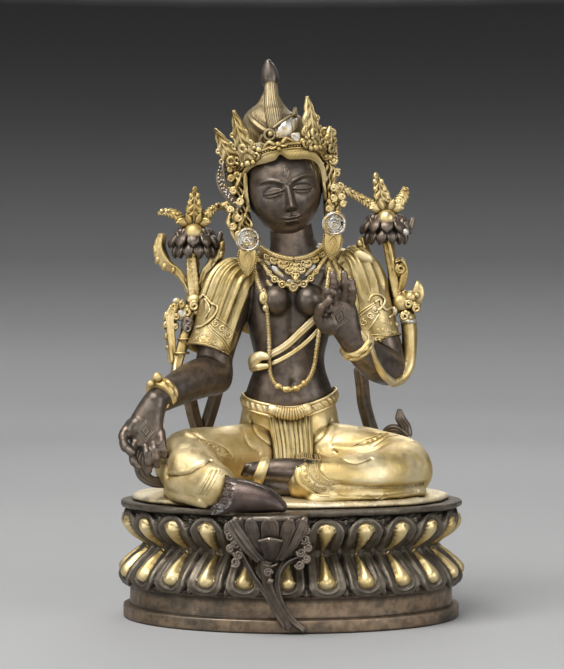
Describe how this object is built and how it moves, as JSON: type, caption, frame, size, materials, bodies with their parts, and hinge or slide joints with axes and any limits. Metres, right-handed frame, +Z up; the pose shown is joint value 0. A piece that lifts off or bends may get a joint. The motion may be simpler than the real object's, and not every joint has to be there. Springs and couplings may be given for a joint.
{
  "type": "seated bronze deity figure",
  "caption": "Seated deity in partly gilt bronze on an oval double lotus base, one leg lowered onto a small lotus, a flower spray beside each shoulder and a leafed crown.",
  "frame": {"origin": "centre of the oval underside of the lotus base, on the surface it stands on", "axes": "+Z up through the figure, -Y the way the deity faces, +X towards the deity's left hand"},
  "size_m": [0.2192, 0.1915, 0.3535],
  "materials": {
    "base_bronze": "brown patinated bronze with gilt petal bosses, satin",
    "dark_bronze": "dark patinated bronze, satin",
    "gilt_figure": "worn gilding on dress and jewels, dark bronze skin",
    "gilt_crown": "worn gilding with silver coloured solder repairs",
    "gilt_spray": "worn gilding, flowers in dark bronze"
  },
  "bodies": {
    "root": {"lotus_base": "base_bronze", "footrest_lotus": "dark_bronze", "seated_figure": "gilt_figure", "crown": "gilt_crown", "utpala_right": "gilt_spray", "utpala_left": "gilt_spray"}
  },
  "joints": []
}
